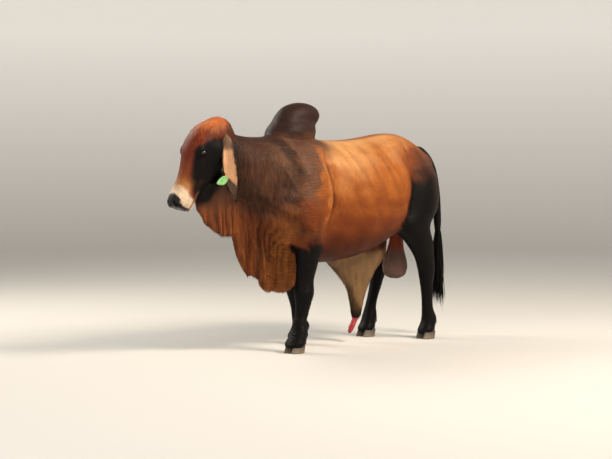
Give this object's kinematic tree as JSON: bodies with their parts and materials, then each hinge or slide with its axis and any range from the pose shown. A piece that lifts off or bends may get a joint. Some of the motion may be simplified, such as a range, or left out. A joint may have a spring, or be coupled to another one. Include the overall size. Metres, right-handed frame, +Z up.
{
  "type": "brahman bull",
  "caption": "Life-size brahman bull walking slowly, with high hump, long hanging ears, folded dewlap, hanging sheath and tail switch.",
  "frame": {"origin": "on the floor, under the middle of the animal's overall box", "axes": "+Z up, -X towards the muzzle, -Y towards the animal's left side"},
  "size_m": [2.504, 0.7712, 1.6994],
  "materials": {
    "hide": "short sleek red-brown coat, nearly black on face, legs and hump",
    "tail_hair": "long black hair",
    "bare_skin": "moist bare red skin",
    "eye": "wet, very dark brown",
    "tag": "soft moulded plastic, light green",
    "hoof": "worn grey-brown horn"
  },
  "bodies": {
    "root": {"barrel": "hide", "dewlap": "hide", "ear_tag": "tag", "head": "hide", "hindquarters": "hide", "hump": "hide", "left_ear": "hide", "left_eye": "eye", "left_fore_foot": "hide", "left_fore_left_claw": "hoof", "left_fore_right_claw": "hoof", "left_foreleg": "hide", "left_hind_foot": "hide", "left_hind_left_claw": "hoof", "left_hind_leg": "hide", "left_hind_right_claw": "hoof", "neck": "hide", "prepuce": "bare_skin", "right_ear": "hide", "right_eye": "eye", "right_fore_foot": "hide", "right_fore_left_claw": "hoof", "right_fore_right_claw": "hoof", "right_foreleg": "hide", "right_hind_foot": "hide", "right_hind_left_claw": "hoof", "right_hind_leg": "hide", "right_hind_right_claw": "hoof", "scrotum": "hide", "sheath": "hide", "shoulders": "hide", "tail_dock": "hide", "tail_root": "hide", "tail_switch": "tail_hair"}
  },
  "joints": []
}
